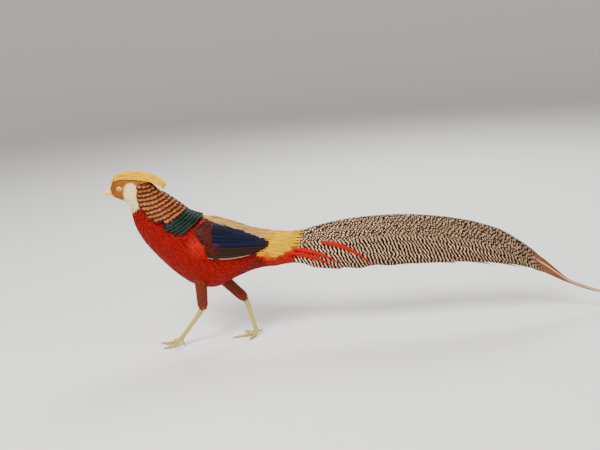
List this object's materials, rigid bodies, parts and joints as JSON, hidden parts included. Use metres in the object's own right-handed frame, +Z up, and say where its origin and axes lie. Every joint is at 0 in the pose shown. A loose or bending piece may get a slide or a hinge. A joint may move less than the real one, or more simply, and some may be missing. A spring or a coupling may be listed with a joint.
{
  "type": "golden pheasant figure",
  "caption": "Life-size still model of a crested, long-tailed game bird in mid stride, resting on the toes of both feet.",
  "frame": {"origin": "middle of the bottom of the bounding box, on the floor under the tail root", "axes": "+X from the bill to the tail tip, +Y to the bird's right, +Z up"},
  "size_m": [0.9743, 0.1114, 0.3499],
  "materials": {
    "gold": "silky golden-yellow feathers",
    "cape_orange": "broad tawny-orange feathers with dark bars",
    "scarlet": "scarlet body feathers, soft sheen",
    "wing_brown": "maroon-brown and steel-blue wing feathers",
    "tail_buff": "black tail feathers spotted and barred in buff",
    "thigh_rust": "rusty red-brown leg feathers",
    "leg_yellow": "straw-yellow scaled skin",
    "bill_horn": "yellow horn, satin",
    "iris": "wet, glossy eye"
  },
  "bodies": {
    "root": {"head": "gold", "bill_upper": "bill_horn", "bill_lower": "bill_horn", "eye_left": "iris", "eye_right": "iris", "neck": "cape_orange", "torso": "scarlet", "rump": "gold", "wing_left": "wing_brown", "wing_right": "wing_brown", "tail": "tail_buff", "thigh_left": "thigh_rust", "thigh_right": "thigh_rust", "shank_left": "leg_yellow", "shank_right": "leg_yellow", "foot_left": "leg_yellow", "foot_right": "leg_yellow"}
  },
  "joints": []
}
